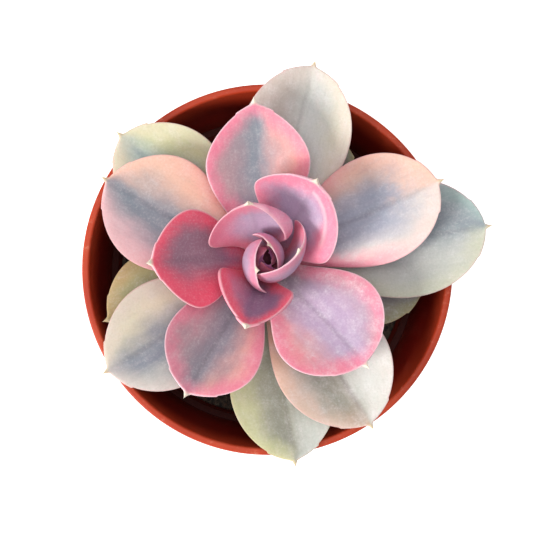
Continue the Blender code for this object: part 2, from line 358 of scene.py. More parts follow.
@dataclass
class Leaf:
    """One leaf of the rosette."""

    number: int
    form: LeafForm
    skin: LeafSkin
    foot: Vector
    reach: float  # stem's radius at the seat, in metres
    cusp_length: float = 2.2
    cusp_width: float = 6.0
    longest_cusp: float = 0.1
    widest_cusp: float = 0.22
    cusp_root: float = 0.05
    foot_share: float = 0.30
    shoulder: float = 2.3
    swell: float = 0.9
    end_round: float = 0.5
    point_round: float = 0.4
    point_shoulder: float = 0.8
    cusp_hollow: float = 1.5
    thickest: float = 0.35
    thinning: float = 0.6
    foot_thickness: float = 0.6
    tip_thinning: float = 0.72
    foot_close: float = 0.05
    tip_close: float = 0.03
    upper_share: float = 0.32
    keel_width: float = 1.6
    keel_start: float = 0.3
    hem_sharpness: float = 1.6
    wave_height: float = 0.3
    section_steps: int = 40
    sides: int = 72
    rings: int = 84

    @property
    def name(self) -> str:
        """The CAD node that this leaf stands for."""
        return f"leaf_{self.number:02d}"

    @property
    def slot(self) -> str:
        """A slot name for the skin of a leaf of this age."""
        if self.number <= 8:
            return "outer_leaf"
        return "middle_leaf" if self.number <= 15 else "heart_leaf"

    def half_width(self, share: float, side: int) -> float:
        """Half the blade's width.

        Args:
            share: Place along the midrib, 0 at the foot and 1 at the cusp's point.
            side: 1 for the left half, -1 for the right half.

        Returns:
            The half width in plant millimetres.
        """
        form = self.form
        half = form.width / 2
        narrow = self.foot_share * half
        widest = form.widest + form.skew * side
        end = 1 - min(self.cusp_length / form.length, self.longest_cusp)
        if share < widest:
            blade = narrow + (half - narrow) * smooth(share / widest) ** self.swell
        else:
            past = min((share - widest) / (end - widest), 1.0)
            blunt = self.shoulder - self.point_shoulder * form.point
            blade = half * max(1 - past**blunt, 0.0) ** (self.end_round + self.point_round * form.point)
        cusp_start = end - self.cusp_root
        cusp = 0.0
        if share > cusp_start:
            wide = min(self.cusp_width, self.widest_cusp * form.width)
            cusp = wide / 2 * (1 - (share - cusp_start) / (1 - cusp_start)) ** self.cusp_hollow
        return math.hypot(blade, cusp) * min(1.0, math.sqrt(share / self.foot_close))

    def thickness(self, share: float) -> float:
        """Thickness along the midrib, in plant millimetres."""
        thin_foot = self.foot_thickness + (1 - self.foot_thickness) * smooth(share / self.thickest)
        thin_tip = 1 - self.tip_thinning * smooth((share - self.thickest) / self.thinning)
        close = min(1.0, math.sqrt(share / self.foot_close), math.sqrt(max(1 - share, 0.0) / self.tip_close))
        return self.form.thickness * thin_foot * thin_tip * close

    def tangent(self, share: float) -> Vector:
        """Direction of the midrib."""
        form = self.form
        slope = math.radians(form.rise + (form.tip_rise - form.rise) * share)
        heading = math.radians(form.sweep * share)
        return Vector(
            (math.cos(slope) * math.cos(heading), math.cos(slope) * math.sin(heading), math.sin(slope))
        )

    def midrib(self, share: float, steps: int = 16) -> Vector:
        """Point of the midrib, from the foot."""
        total = Vector((0, 0, 0))
        for index in range(steps):
            total += self.tangent(share * (index + 0.5) / steps)
        return total * (self.form.length * share / steps)

    def station(self, share: float) -> tuple[Vector, Vector, Vector, float, dict[int, np.ndarray]]:
        """What a section needs: midrib point, side and normal directions, thickness, its two halves."""
        along = self.tangent(share)
        heading = math.radians(self.form.sweep * share)
        side = Vector((-math.sin(heading), math.cos(heading), 0))
        halves = {hand: self.section(share, hand) for hand in (1, -1)}
        return self.midrib(share), side, along.cross(side), self.thickness(share), halves

    def section(self, share: float, hand: int) -> np.ndarray:
        """Follows one half of the cross-section's middle line outwards from the midrib.

        Args:
            share: Place along the midrib.
            hand: 1 for the left half, -1 for the right half.

        Returns:
            Rows of the way gone along the line, sideways and up in plant millimetres, and the angle turned.
        """
        form = self.form
        half = self.half_width(share, hand)
        reach = np.linspace(0.0, half, self.section_steps)
        keel = math.radians(form.keel) * smooth(share / self.keel_start)
        bend = (math.radians(form.cup) - keel) * (1 + form.lean * hand) / (form.width / 2)
        turned = reach * bend + keel * np.clip(reach / self.keel_width, 0, 1)
        hem = math.radians(form.hem)
        if hem and hand < 0:
            start = half * (1 - form.hem_width)
            scale = self.hem_sharpness / max(half - start, 1e-6)
            turned += hem * np.array([smooth(scale * (r - start)) for r in reach])
        middle = (turned[1:] + turned[:-1]) / 2
        pace = half / (self.section_steps - 1)
        out = np.concatenate(([0.0], np.cumsum(np.cos(middle)) * pace))
        up = np.concatenate(([0.0], np.cumsum(np.sin(middle)) * pace))
        return np.array([reach, out, up, turned])

    def skin_point(self, station: tuple, share: float, angle: float) -> tuple[Vector, float]:
        """One point of the skin.

        Args:
            station: The cross-section's frame.
            share: Place along the midrib.
            angle: Place round the section, from the left margin over the upper face.

        Returns:
            The point, and how far it lies to the left of the midrib, in plant millimetres.
        """
        centre, across, normal, thick, halves = station
        hand = 1 if math.cos(angle) > 0 else -1
        line = halves[hand]
        half = line[0][-1]
        reach = abs(math.cos(angle)) * half
        out, up, turned = (float(np.interp(reach, line[0], line[row])) for row in (1, 2, 3))
        rise = math.sin(angle)
        depth = thick * (self.upper_share if rise > 0 else 1 - self.upper_share) * rise
        out -= depth * math.sin(turned)
        up += depth * math.cos(turned)
        wave = noise.noise(Vector((share * 3.1, reach * hand * 0.11, self.number * 7.3)))
        up += wave * self.wave_height * min(1.0, half / 6)
        return centre + across * (out * hand) + normal * up, reach * hand

    def build(self) -> bpy.types.Object:
        """Makes the leaf from a sphere drawn out along the midrib, and marks its skin for colouring.

        Returns:
            The leaf's object.
        """
        bm = bmesh.new()
        bmesh.ops.create_uvsphere(bm, u_segments=self.sides, v_segments=self.rings, radius=1.0)
        names = ("across", "along", "inside", "upper")
        across, along, inside, upper = (bm.verts.layers.float.new(name) for name in names)
        skin = bm.verts.layers.float_vector.new("skin")
        length = self.form.length
        lines = {
            side: np.array([(s * length, self.half_width(s, side)) for s in np.linspace(0, 1, 240)])
            for side in (1, -1)
        }
        stations: dict[float, tuple] = {}
        for vert in bm.verts:
            share = round(min(max((1 + vert.co.z) / 2, 0.0), 1.0), 6)
            if share not in stations:
                stations[share] = self.station(share)
            angle = math.atan2(vert.co.y, vert.co.x)
            point, offset = self.skin_point(stations[share], share, angle)
            line = lines[1 if offset > 0 else -1]
            gap = np.hypot(line[:, 0] - share * length, line[:, 1] - abs(offset)).min()
            vert[across] = math.cos(angle)
            vert[along] = share
            vert[inside] = float(gap)
            vert[upper] = smooth(0.5 + math.sin(angle) * 2.5)
            vert[skin] = (offset, share * length, self.number * 11.0)
            vert.co = point * MM
        turn = Matrix.Rotation(math.radians(self.form.turn), 4, "Z")
        tilt = Matrix.Rotation(-math.radians(self.form.tilt), 4, "X")
        seat = Matrix.Translation((self.reach + GAP, 0, 0)) @ tilt
        bmesh.ops.transform(bm, matrix=Matrix.Translation(self.foot) @ turn @ seat, verts=bm.verts)
        return make_piece(f"{self.name}_blade", bm, self.dress(), self.slot, [self.name])

    def dress(self) -> bpy.types.Material:
        """The leaf's material: a feathered stripe along the midrib, flushed margins, a pale edge and powder.

        Returns:
            The material.
        """
        look = self.skin
        f = Finish(f"{self.name}_skin")
        across, along = f.attribute("across"), f.attribute("along")
        inside, upper = f.attribute("inside"), f.attribute("upper")
        skin, place = f.attribute("skin", "Vector"), f.place()
        streak = f.clouds(f.stretch(skin, (0.9, 0.12, 1.0)), 1.0, 3.0, 0.55) - 0.5
        blots = f.clouds(f.stretch(skin, (0.24, 0.17, 1.0), (2.0, 9.0, 0.0)), 1.0, 5.0, 0.62) - 0.5
        drift = f.clouds(f.stretch(skin, (0.10, 0.06, 1.0), (3.0, 5.0, 0.0)), 1.0, 2.0) - 0.5
        grain = f.clouds(place, 1700.0, 3.0, 0.7)
        patch = f.clouds(f.stretch(skin, (0.26, 0.20, 1.0), (1.0, 4.0, 0.0)), 1.0, 5.0, 0.66)
        wander = across + drift * 0.8 + blots * 0.26 + streak * 0.08 - look.shift
        stripe = abs(wander).step(look.stripe + look.feather, look.stripe - look.feather)
        stripe = stripe * (along + blots * 0.3).step(look.stripe_end + 0.12, look.stripe_end - 0.2)
        flank = f.mix((across + blots * 0.3).step(-0.15, 0.15), look.right.value, look.left.value)
        f.colour = f.mix(stripe, flank, look.middle.value)
        f.lay((along + blots * 0.2).step(0.48, 0.14) * 0.8, look.foot.value)
        offset = abs(f.wire(f.node("ShaderNodeSeparateXYZ", Vector=skin), "X") + drift * 0.8)
        # Painted shade in the crease along the midrib.
        vein = offset.step(1.5, 0.0) * along.step(0.1, 0.3) * along.step(0.98, 0.85)
        f.lay(vein * look.vein, Tint.SHADE.value)
        side = (across + blots * 0.2).step(-0.25, 0.25)
        amount = side * look.flush_by[0] + (1 - side) * look.flush_by[1]
        if look.flush_fade:
            amount = amount * (1 - along.step(0.35, 0.85) * look.flush_fade)
        band = (inside + drift * 6.0 + blots * 6.0 + streak * 0.5).step(look.flush_width, 0.0)
        f.lay((band * amount).clamp(), look.flush.value)
        # Painted highlight along the fold of the right margin.
        if look.ridge:
            near = abs(inside - 3.6 + drift * 1.5).step(1.3, 0.0) * across.step(0.0, -0.1)
            near = near * along.step(0.45, 0.6)
            f.lay(near * look.ridge, Tint.CHALK.value)
        under_edge = look.flush if look.flush_by[0] else look.left
        under = f.mix(band * 0.7, look.under.value, under_edge.value)
        f.colour = f.mix(upper, under, f.colour)
        f.lay(streak.step(0.0, 0.3) * 0.10, Tint.CHALK.value)
        f.lay(streak.step(0.0, -0.3) * 0.08, Tint.SHADE.value)
        dust = patch.step(0.40, 0.74) * look.bloom
        f.lay((dust * (0.22 + grain.step(0.36, 0.70) * 0.34)).clamp(), Tint.FROST.value)
        f.lay(grain.step(0.52, 0.28) * 0.08, Tint.SHADE.value)
        f.lay(grain.step(0.50, 0.74) * 0.14, Tint.FROST.value)
        f.lay(inside.step(0.5, 0.0) * look.edge_weight, look.edge.value)
        cusp = 1 - self.cusp_length / self.form.length
        f.lay(along.step(cusp - 0.01, cusp + 0.025), look.tip.value)
        f.set(Base_Color=f.colour, Roughness=0.48 + dust * 0.25 + grain * 0.10)
        f.relief(grain * 0.45 + patch * 0.5 + streak * 0.3, 0.12 * MM, 0.6)
        f.set(
            Subsurface_Weight=0.18,
            Subsurface_Radius=(1.0, 0.5, 0.6),
            Subsurface_Scale=1.6 * MM,
            Sheen_Weight=0.08,
            Sheen_Roughness=0.45,
            Specular_IOR_Level=0.35,
        )
        return f.material


def make_piece(
    name: str,
    bm: bmesh.types.BMesh,
    finish: bpy.types.Material,
    slot: str,
    stands_for: Iterable[str] = (),
    sharp: float = 180.0,
) -> bpy.types.Object:
    """Turns a bmesh into a piece that rides on the object.

    Args:
        name: The piece's name.
        bm: Its shape, which is freed.
        finish: Its material.
        slot: Not used.
        stands_for: The CAD nodes that it replaces.
        sharp: Angle in degrees past which an edge isn't smoothed.

    Returns:
        The object.
    """
    bmesh.ops.recalc_face_normals(bm, faces=bm.faces)
    mesh = bpy.data.meshes.new(name)
    bm.to_mesh(mesh)
    bm.free()
    mesh.shade_smooth()
    if sharp < 180.0:
        mesh.set_sharp_from_angle(angle=math.radians(sharp))
    mesh.materials.append(finish)
    piece = bpy.data.objects.new(name, mesh)
    bpy.context.scene.collection.objects.link(piece)
    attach(piece, BODY)
    if stands_for:
        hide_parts(*stands_for)
    LOG.info("%s: %d faces", name, len(mesh.polygons))
    return piece


@dataclass
class Rosette:
    """The plant: its leaves in a spiral on a short stem."""

    centre: tuple[float, float] = (-1.4 * MM, 2.3 * MM)
    stem_radius: float = 5.0 * MM
    stem_top_radius: float = 1.9 * MM
    first_seat: float = 65.0 * MM
    seat_step: float = 1.05 * MM
    soil_height: float = 57.5 * MM
    root_depth: float = 12.0 * MM
    root_taper: float = 3.0 * MM
    bark_inset: float = 0.96  # the bark's radius as a share of the stem's, for the gap to the leaves
    scar_depth: float = 0.28 * MM

    def radius_at(self, height: float, apex: float) -> float:
        """The stem's radius: straight to the first leaf, and tapering from there to the apex."""
        share = (height - self.first_seat) / (apex - self.first_seat)
        return self.stem_radius + (self.stem_top_radius - self.stem_radius) * min(max(share, 0.0), 1.0)

    def build(self) -> None:
        """Makes the stem and every leaf."""
        rows = leaf_rows()
        apex = self.first_seat + self.seat_step * (len(rows) + 1)
        for index, (form, skin) in enumerate(rows):
            height = self.first_seat + self.seat_step * index
            reach = self.radius_at(height, apex)
            form = replace(form, length=form.length - reach / MM)
            Leaf(index + 1, form, skin, Vector((*self.centre, height)), reach).build()
        self.build_stem(apex)

    def build_stem(self, apex: float) -> None:
        """Makes the stem: turned, with the scars of shed leaves round it."""
        foot = self.soil_height - self.root_depth
        heights = [foot + (apex - foot) * k / 60 for k in range(61)]
        bm = bmesh.new()
        line = []
        for height in heights:
            radius = self.radius_at(height, apex) * self.bark_inset
            if height < foot + self.root_taper:
                radius *= 0.7 + 0.3 * (height - foot) / self.root_taper
            line.append(bm.verts.new((radius, 0, height)))
        line.insert(0, bm.verts.new((0, 0, foot)))
        line.append(bm.verts.new((0, 0, apex + self.stem_top_radius * 0.8)))
        edges = [bm.edges.new(pair) for pair in zip(line, line[1:])]
        bmesh.ops.spin(
            bm, geom=line + edges, axis=(0, 0, 1), cent=(0, 0, 0), angle=math.tau, steps=64, use_merge=True
        )
        bmesh.ops.remove_doubles(bm, verts=bm.verts, dist=MERGE)
        for vert in bm.verts:
            radius = math.hypot(vert.co.x, vert.co.y)
            if radius > 0.5 * MM:
                spot = Vector((vert.co.x, vert.co.y, vert.co.z * 2.2)) * 420
                dent = -self.scar_depth * (0.5 + 0.5 * noise.noise(spot))
                vert.co.x *= (radius + dent) / radius
                vert.co.y *= (radius + dent) / radius
        bmesh.ops.translate(bm, vec=(*self.centre, 0), verts=bm.verts)
        make_piece("stem_bark", bm, stem_finish(), "stem_skin", ["stem"])


def stem_finish() -> bpy.types.Material:
    """Dry, fibrous bark with paler scars."""
    f = Finish("stem_bark_skin")
    place = f.place()
    fibre = f.clouds(f.stretch(place, (900, 900, 160)), 1.0, 4.0, 0.6)
    scar = f.clouds(f.stretch(place, (200, 200, 900)), 1.0, 3.0)
    f.tones(fibre, 0.35, 0.7, paint(74, 58, 40), paint(140, 118, 82))
    f.lay(scar.step(0.55, 0.75) * 0.6, paint(176, 160, 122))
    height = f.wire(f.node("ShaderNodeSeparateXYZ", Vector=place), "Z")
    f.lay(height.step(70 * MM, 84 * MM), paint(96, 44, 62))
    f.set(Base_Color=f.colour, Roughness=0.75 + fibre * 0.2)
    f.relief(fibre * 0.6 + scar, 0.3 * MM)
    return f.material


def leaf_rows() -> list[tuple[LeafForm, LeafSkin]]:
    """Every leaf's shape and colouring, oldest and lowest first."""
    T = Tint
    old = LeafSkin(
        T.OLIVE, T.KHAKI, T.KHAKI, T.OLIVE, flush=T.LIME, edge=T.BRONZE, edge_weight=0.35, tip=T.HUSK,
        under=T.SAGE,
    )
    grey = LeafSkin(
        T.MIST, T.SAGE, T.SAGE, T.SAGE, edge=T.BLUSH_EDGE, edge_weight=0.45, tip=T.HUSK, under=T.MIST
    )
    heart = LeafSkin(
        T.MAUVE, T.LILAC, T.LILAC, T.MAUVE, flush_by=(0.9, 0.9), under=T.LILAC, bloom=0.2, vein=0.12
    )
    young = LeafSkin(
        T.WINE, T.PLUM, T.PLUM, T.WINE, flush_by=(0.4, 0.4), tip=T.PLUM, under=T.PLUM, bloom=0.2, vein=0.12,
        edge_weight=0.15,
    )
    rows: list[tuple[LeafForm, LeafSkin]] = []

    def add(form: LeafForm, base: LeafSkin, tints: Sequence[Tint] = (), **changes: object) -> None:
        """Adds a leaf, coloured like base but for its middle, left, right and foot tints and the changes."""
        changes.update(zip(("middle", "left", "right", "foot"), tints))
        rows.append((form, replace(base, **changes)))

    add(LeafForm(348.5, 51, 25, 22, 16, 16), old, (T.LEAD, T.OLIVE, T.OLIVE, T.LEAD))
    add(
        LeafForm(201, 52, 29, 26, 18, 14),
        old, (T.OLIVE, T.MUSHROOM, T.KHAKI, T.OLIVE), flush=T.BRONZE, flush_by=(0.3, 0.7),
    )
    add(LeafForm(57, 46, 24, 26, 18, 14), old, (T.LEAD, T.OLIVE, T.OLIVE, T.LEAD))
    add(
        LeafForm(278.5, 62, 31, 26, 16, 20, keel=8, point=0.35),
        old, (T.ASH, T.SILVER, T.LIME, T.ASH), stripe=0.45, shift=-0.12, flush=T.LIME,
        flush_by=(0.0, 0.7), bloom=0.5,
    )
    add(
        LeafForm(139.5, 58.5, 31.5, 28, 18, 20, keel=9),
        grey, (T.TEAL, T.CREAM, T.LIME), flush=T.CREAM, flush_by=(0.6, 0.6), stripe=0.35, bloom=0.5,
    )
    add(
        LeafForm(8.5, 68, 34, 24, 16, 18, keel=5, point=0.2),
        grey, (T.MIST_BLUE, T.TEAL, T.SILVER), shift=0.2, stripe=0.4, flush=T.LIME, flush_by=(0.0, 0.35),
        bloom=0.45,
    )
    add(
        LeafForm(219.5, 58.5, 31.5, 28, 16, 22, keel=10, sweep=-9),
        grey, (T.SLATE, T.SILVER, T.CREAM), stripe=0.4, feather=0.4, shift=0.15, flush=T.IVORY,
        flush_by=(0.6, 0.5),
    )
    add(
        LeafForm(76, 61, 31.5, 28, 18, 22, keel=7, point=0.2),
        grey, (T.PEARL, T.MUSHROOM, T.CREAM, T.MUSHROOM), stripe=0.36, shift=-0.24, flush=T.IVORY,
        flush_by=(0.4, 0.6), bloom=0.6,
    )
    add(
        LeafForm(304, 59.5, 33.5, 28, 18, 24, keel=12, sweep=-4),
        grey, (T.ASH, T.PEARL, T.IVORY), stripe=0.36, shift=-0.28, flush=T.FAWN, flush_by=(0.2, 1.0),
        flush_width=9.0, flush_fade=0.45, bloom=0.75, vein=0.3,
    )
    add(
        LeafForm(158.5, 54.5, 33, 30, 20, 22, keel=7, sweep=-10),
        grey, (T.SLATE, T.BLUSH, T.PEACH, T.DUSTY), stripe=0.42, shift=0.08, flush=T.SALMON,
        flush_by=(0.6, 0.85), flush_fade=0.8, under=T.LILAC, bloom=0.4,
    )
    add(
        LeafForm(24, 58, 31, 30, 18, 22, keel=4, point=0.2),
        grey, (T.VEIL, T.PEACH, T.IVORY, T.LEAD), stripe=0.55, stripe_end=0.84, flush=T.ROSE,
        flush_by=(0.5, 0.9), flush_fade=0.9, under=T.LILAC, bloom=0.45,
    )
    add(
        LeafForm(239.5, 49.5, 28.5, 32, 28, 26, keel=11, widest=0.66, point=0.3),
        heart, (T.LEAD, T.SALMON, T.DUSTY, T.LEAD), stripe=0.5, flush=T.ROSE, flush_by=(0.85, 0.65),
        bloom=0.35, vein=0.25,
    )
    add(
        LeafForm(95, 50, 30, 34, 32, 28, keel=7, point=0.65),
        heart, (T.SLATE, T.DUSTY, T.SALMON, T.MAUVE), flush_by=(0.95, 0.8), stripe=0.42, shift=0.02,
        bloom=0.3,
    )
    add(
        LeafForm(315, 47, 33, 34, 32, 26, keel=8, sweep=-6, point=0.15),
        heart, (T.LILAC, T.DUSTY, T.SALMON, T.LEAD), flush_by=(0.8, 0.9), stripe=0.64, bloom=0.85,
        vein=0.25,
    )
    add(
        LeafForm(178.5, 41, 28, 40, 42, 28, keel=4, sweep=11, point=0.6),
        heart, (T.DUSK_ROSE, T.CORAL, T.DUSK_ROSE, T.MAUVE), stripe=0.42, flush=T.CORAL,
        flush_by=(1.0, 1.0), flush_width=8.0, bloom=0.12,
    )
    add(
        LeafForm(
            40.5, 38.5, 30.5, 44, 70, 48, sweep=14, tilt=10, widest=0.58, skew=0.1, hem=-38, hem_width=0.32,
            point=0.4,
        ),
        heart, (T.LILAC, T.LILAC, T.ROSE, T.MAUVE), flush_by=(1.0, 0.9), stripe=0.5, shift=-0.1,
        flush_width=8.5, ridge=0.45, bloom=0.3,
    )
    add(
        LeafForm(252, 36.5, 25.5, 50, 72, 58, keel=10, lean=0.2, widest=0.52, skew=0.06, point=1.0),
        heart, (T.MAUVE, T.MAUVE, T.ROSE, T.PLUM), stripe=0.45, flush=T.CORAL, flush_by=(1.0, 1.0),
        edge=T.BLUSH,
    )
    add(
        LeafForm(
            97.5, 31.5, 29, 56, 78, 50, tilt=8, thickness=3.4, skew=-0.05, hem=74, hem_width=0.42, point=0.6
        ),
        heart, (T.LILAC, T.ROSE, T.LILAC), edge=T.BLUSH,
    )
    add(
        LeafForm(325, 27.5, 24.5, 60, 110, 68, tilt=15, thickness=2.6, widest=0.62, point=0.45),
        heart, (T.LILAC, T.ROSE, T.ROSE, T.MAUVE), under=T.LILAC,
    )
    add(LeafForm(186, 24, 17.5, 64, 119, 60, tilt=10, thickness=2.2, widest=0.66, point=0.8), heart)
    add(LeafForm(37, 21, 14, 70, 119, 60, tilt=8, thickness=2.0, point=0.9), heart)
    add(LeafForm(243, 17, 10, 74, 120, 60, tilt=8, thickness=1.5, point=0.9), young)
    add(LeafForm(155, 15.5, 8, 76, 126, 60, tilt=6, thickness=1.3, point=0.9), young)
    add(LeafForm(15, 13, 6.6, 80, 122, 56, tilt=6, thickness=1.1, point=0.9), young)
    add(LeafForm(235, 10.5, 5.2, 82, 118, 50, thickness=0.9, point=0.9), young)
    return rows


# Pot ------------------------------------------------------


@dataclass
class NurseryPot:
    """Thin plastic pot: rolled lip, tall collar, a step inside and a tapered body."""

    rim_radius: float = 52.5 * MM
    height: float = 85.0 * MM
    base_radius: float = 36.0 * MM
    wall: float = 1.2 * MM
    lip_width: float = 2.1 * MM
    lip_depth: float = 2.0 * MM
    collar_height: float = 25.0 * MM
    collar_draft: float = 3.7 * MM
    ledge_width: float = 2.1 * MM
    foot_width: float = 5.0 * MM
    foot_height: float = 1.2 * MM
    centre_foot: float = 9.0 * MM
    floor: float = 1.3 * MM
    drain_radius: float = 4.5 * MM
    drain_circle: float = 20.0 * MM
    drains: int = 4
    sides: int = 192

    @property
    def bore_above_step(self) -> float:
        """The collar's inner radius where it meets the step."""
        return self.rim_radius - self.lip_width - self.collar_draft

    def outline(self) -> list[tuple[float, float]]:
        """The wall's section as (radius, height) points, round from the middle of the underside."""
        collar_foot = self.height - self.collar_height
        inner_top = self.rim_radius - self.lip_width
        inner_foot = self.bore_above_step
        body_top = inner_foot - self.ledge_width
        body_foot = self.base_radius - self.wall
        floor_top = self.foot_height + self.floor
        ring = self.base_radius - self.foot_width
        return [
            (0, 0),
            (self.centre_foot, 0),
            (self.centre_foot + self.foot_height / 2, self.foot_height),
            (ring - self.foot_height / 2, self.foot_height),
            (ring, 0),
            (self.base_radius - 1.0 * MM, 0),
            (self.base_radius, 1.0 * MM),
            (body_top + self.wall, collar_foot - self.wall),
            (inner_foot + self.wall, collar_foot - self.wall),
            (self.rim_radius - 0.7 * MM, self.height - self.lip_depth),
            (self.rim_radius, self.height - self.lip_depth + 0.4 * MM),
            (self.rim_radius, self.height - 0.4 * MM),
            (self.rim_radius - 0.4 * MM, self.height),
            (inner_top + 0.4 * MM, self.height),
            (inner_top, self.height - 0.4 * MM),
            (inner_foot, collar_foot),
            (body_top, collar_foot),
            (body_foot, floor_top),
            (0, floor_top),
        ]

    def build(self) -> bpy.types.Object:
        """Spins the wall, rounds its corners and drills the drain holes.

        Returns:
            The pot's object.
        """
        bm = bmesh.new()
        verts = [bm.verts.new((radius, 0, height)) for radius, height in self.outline()]
        for pair in zip(verts, verts[1:]):
            bm.edges.new(pair)
        bmesh.ops.bevel(
            bm,
            geom=verts[1:-1],
            offset=0.28 * MM,
            segments=3,
            profile=0.5,
            affect="VERTICES",
            material=-1,
            clamp_overlap=True,
        )
        long_edges = [e for e in bm.edges if e.calc_length() > 4 * MM]
        bmesh.ops.subdivide_edges(bm, edges=long_edges, cuts=6)
        bmesh.ops.spin(
            bm,
            geom=list(bm.verts) + list(bm.edges),
            axis=(0, 0, 1),
            cent=(0, 0, 0),
            angle=math.tau,
            steps=self.sides,
            use_merge=True,
        )
        bmesh.ops.remove_doubles(bm, verts=bm.verts, dist=MERGE)
        pot = make_piece("pot_shell", bm, self.dress(), "pot_plastic", ["pot"], sharp=32)
        for index in range(self.drains):
            angle = math.tau * (index + 0.5) / self.drains
            self.drill(pot, self.drain_circle * math.cos(angle), self.drain_circle * math.sin(angle))
        return pot

    def drill(self, pot: bpy.types.Object, x: float, y: float) -> None:
        """Cuts one drain hole through the floor.

        Args:
            pot: The pot.
            x: The hole's place.
            y: The hole's place.
        """
        bm = bmesh.new()
        width = self.drain_radius
        bmesh.ops.create_cone(bm, cap_ends=True, segments=40, radius1=width, radius2=width, depth=8 * MM)
        bmesh.ops.translate(bm, vec=(x, y, 2 * MM), verts=bm.verts)
        mesh = bpy.data.meshes.new("drill")
        bm.to_mesh(mesh)
        bm.free()
        drill = bpy.data.objects.new("drill", mesh)
        bpy.context.scene.collection.objects.link(drill)
        cut = pot.modifiers.new("drain", "BOOLEAN")
        cut.operation = "DIFFERENCE"
        cut.object = drill
        bpy.context.view_layer.update()
        graph = bpy.context.evaluated_depsgraph_get()
        made = bpy.data.meshes.new_from_object(pot.evaluated_get(graph), depsgraph=graph)
        pot.modifiers.clear()
        pot.data = made
        bpy.data.objects.remove(drill)

    def dress(self) -> bpy.types.Material:
        """Satin terracotta-coloured plastic, scuffed at the lip, lightly dusty, with painted shade darkening
        the inside towards the step.

        Returns:
            The material.
        """
        f = Finish("pot_plastic_skin")
        place = f.place()
        parts = f.node("ShaderNodeSeparateXYZ", Vector=place)
        height = f.wire(parts, "Z")
        round_x, round_y = f.wire(parts, "X"), f.wire(parts, "Y")
        radius = (round_x * round_x + round_y * round_y) ** 0.5
        mottle = f.clouds(place, 60.0, 3.0)
        grain = f.clouds(place, 1400.0, 3.0, 0.6)
        streak = f.clouds(f.stretch(place, (260, 260, 22)), 1.0, 3.0, 0.6)
        f.tones(mottle, 0.3, 0.7, paint(172, 54, 28), paint(186, 66, 36))
        ledge = self.height - self.collar_height
        body = ((height - self.floor) / (ledge - self.floor)).clamp()
        bore = body * (self.bore_above_step - self.ledge_width - self.base_radius + self.wall)
        bore = bore + height.step(ledge - 0.3 * MM, ledge) * self.ledge_width
        bore = bore + ((height - ledge) / self.collar_height).clamp() * self.collar_draft
        bore = bore + (self.base_radius - self.wall)
        inner = (radius - bore).step(0.9 * MM, 0.5 * MM)
        # Painted shade: the inside wall darkens from just under the lip downwards.
        deep_wall_shade = height.step(self.height - 1.5 * MM, self.height - 12 * MM) * inner
        f.lay(deep_wall_shade * 0.95, paint(122, 12, 3))
        # More painted shade, in streaks, on the lower inside wall down to the step.
        low_wall_shade = height.step(ledge + 9 * MM, ledge - 1 * MM) * inner
        f.lay((low_wall_shade * (0.35 + streak * 0.7)).clamp(), paint(74, 22, 14))
        top = height.step(self.height - 1.2 * MM, self.height - 0.1 * MM)
        scuff = f.clouds(place, 420.0, 4.0, 0.7).step(0.55, 0.75) * top
        f.lay(scuff * 0.35, paint(226, 150, 124))
        dust = f.clouds(place, 240.0, 4.0, 0.65).step(0.50, 0.80)
        foot_dust = height.step(12 * MM, 0.0) * 0.4
        # Painted shade on the step inside: a dark band, also made matte.
        step_shade = height.step(ledge + 0.6 * MM, ledge + 0.1 * MM)
        step_shade = step_shade * height.step(ledge - 0.5 * MM, ledge - 0.1 * MM) * inner
        f.lay((dust * (0.10 + foot_dust)).clamp(), paint(176, 128, 108))
        f.lay(step_shade * 0.9, paint(50, 9, 5))
        roughness = 0.40 + mottle * 0.12 + dust * 0.2 + scuff * 0.2 + step_shade * 0.3
        f.set(Base_Color=f.colour, Roughness=roughness)
        f.relief(grain * 0.25 + streak * 0.3 + mottle * 0.5, 0.06 * MM, 0.5)
        f.set(Specular_IOR_Level=0.25)
        return f.material


# Potting mix ----------------------------------------------


